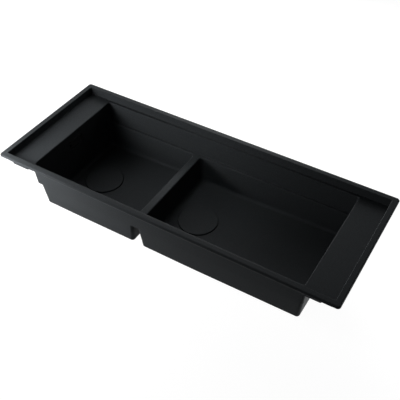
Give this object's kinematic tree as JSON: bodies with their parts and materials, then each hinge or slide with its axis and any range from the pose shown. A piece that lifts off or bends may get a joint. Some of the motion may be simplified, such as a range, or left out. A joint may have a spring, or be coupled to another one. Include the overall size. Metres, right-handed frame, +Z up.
{
  "type": "double bowl kitchen sink",
  "caption": "Long inset composite kitchen sink with a small and a large bowl, end decks, ledges, round waste covers, lift-out baskets and an overflow.",
  "frame": {"origin": "centre of the sink in the plane of the worktop, which is the underside of the rim", "axes": "+X along the length towards the large bowl, +Y towards the back, +Z up"},
  "size_m": [1.16, 0.466, 0.29],
  "materials": {
    "composite": "matte, fine grain",
    "steel": "brushed",
    "body_plastic": "matte moulded",
    "black_plastic": "matte moulded",
    "rubber": "matte",
    "hose_plastic": "matte ribbed"
  },
  "bodies": {
    "sink": {"basin": "composite", "rim_seal": "rubber", "left_waste_flange": "steel", "left_flange_seal": "rubber", "left_body_gasket": "rubber", "left_waste_body": "body_plastic", "left_centre_screw": "steel", "right_waste_flange": "steel", "right_flange_seal": "rubber", "right_body_gasket": "rubber", "right_waste_body": "body_plastic", "right_centre_screw": "steel", "overflow_frame": "black_plastic", "overflow_cover": "black_plastic", "overflow_gasket": "rubber", "overflow_screws": "steel", "overflow_elbow": "body_plastic", "overflow_hose": "hose_plastic", "upper_hose_nut": "body_plastic", "upper_hose_seal": "rubber", "lower_hose_nut": "body_plastic", "lower_hose_seal": "rubber"},
    "left_basket": {"left_basket": "steel", "left_basket_seal": "rubber", "left_basket_knob": "black_plastic"},
    "left_cover": {"left_waste_cover": "composite"},
    "right_basket": {"right_basket": "steel", "right_basket_seal": "rubber", "right_basket_knob": "black_plastic"},
    "right_cover": {"right_waste_cover": "composite"}
  },
  "joints": [
    {"name": "left_basket_lift", "type": "slide", "parent": "sink", "child": "left_basket", "axis": [0, 0, 1], "range_m": [0, 0.12]},
    {"name": "left_cover_lift", "type": "slide", "parent": "left_basket", "child": "left_cover", "axis": [0, 0, 1], "range_m": [0, 0.12]},
    {"name": "right_basket_lift", "type": "slide", "parent": "sink", "child": "right_basket", "axis": [0, 0, 1], "range_m": [0, 0.12]},
    {"name": "right_cover_lift", "type": "slide", "parent": "right_basket", "child": "right_cover", "axis": [0, 0, 1], "range_m": [0, 0.12]}
  ]
}
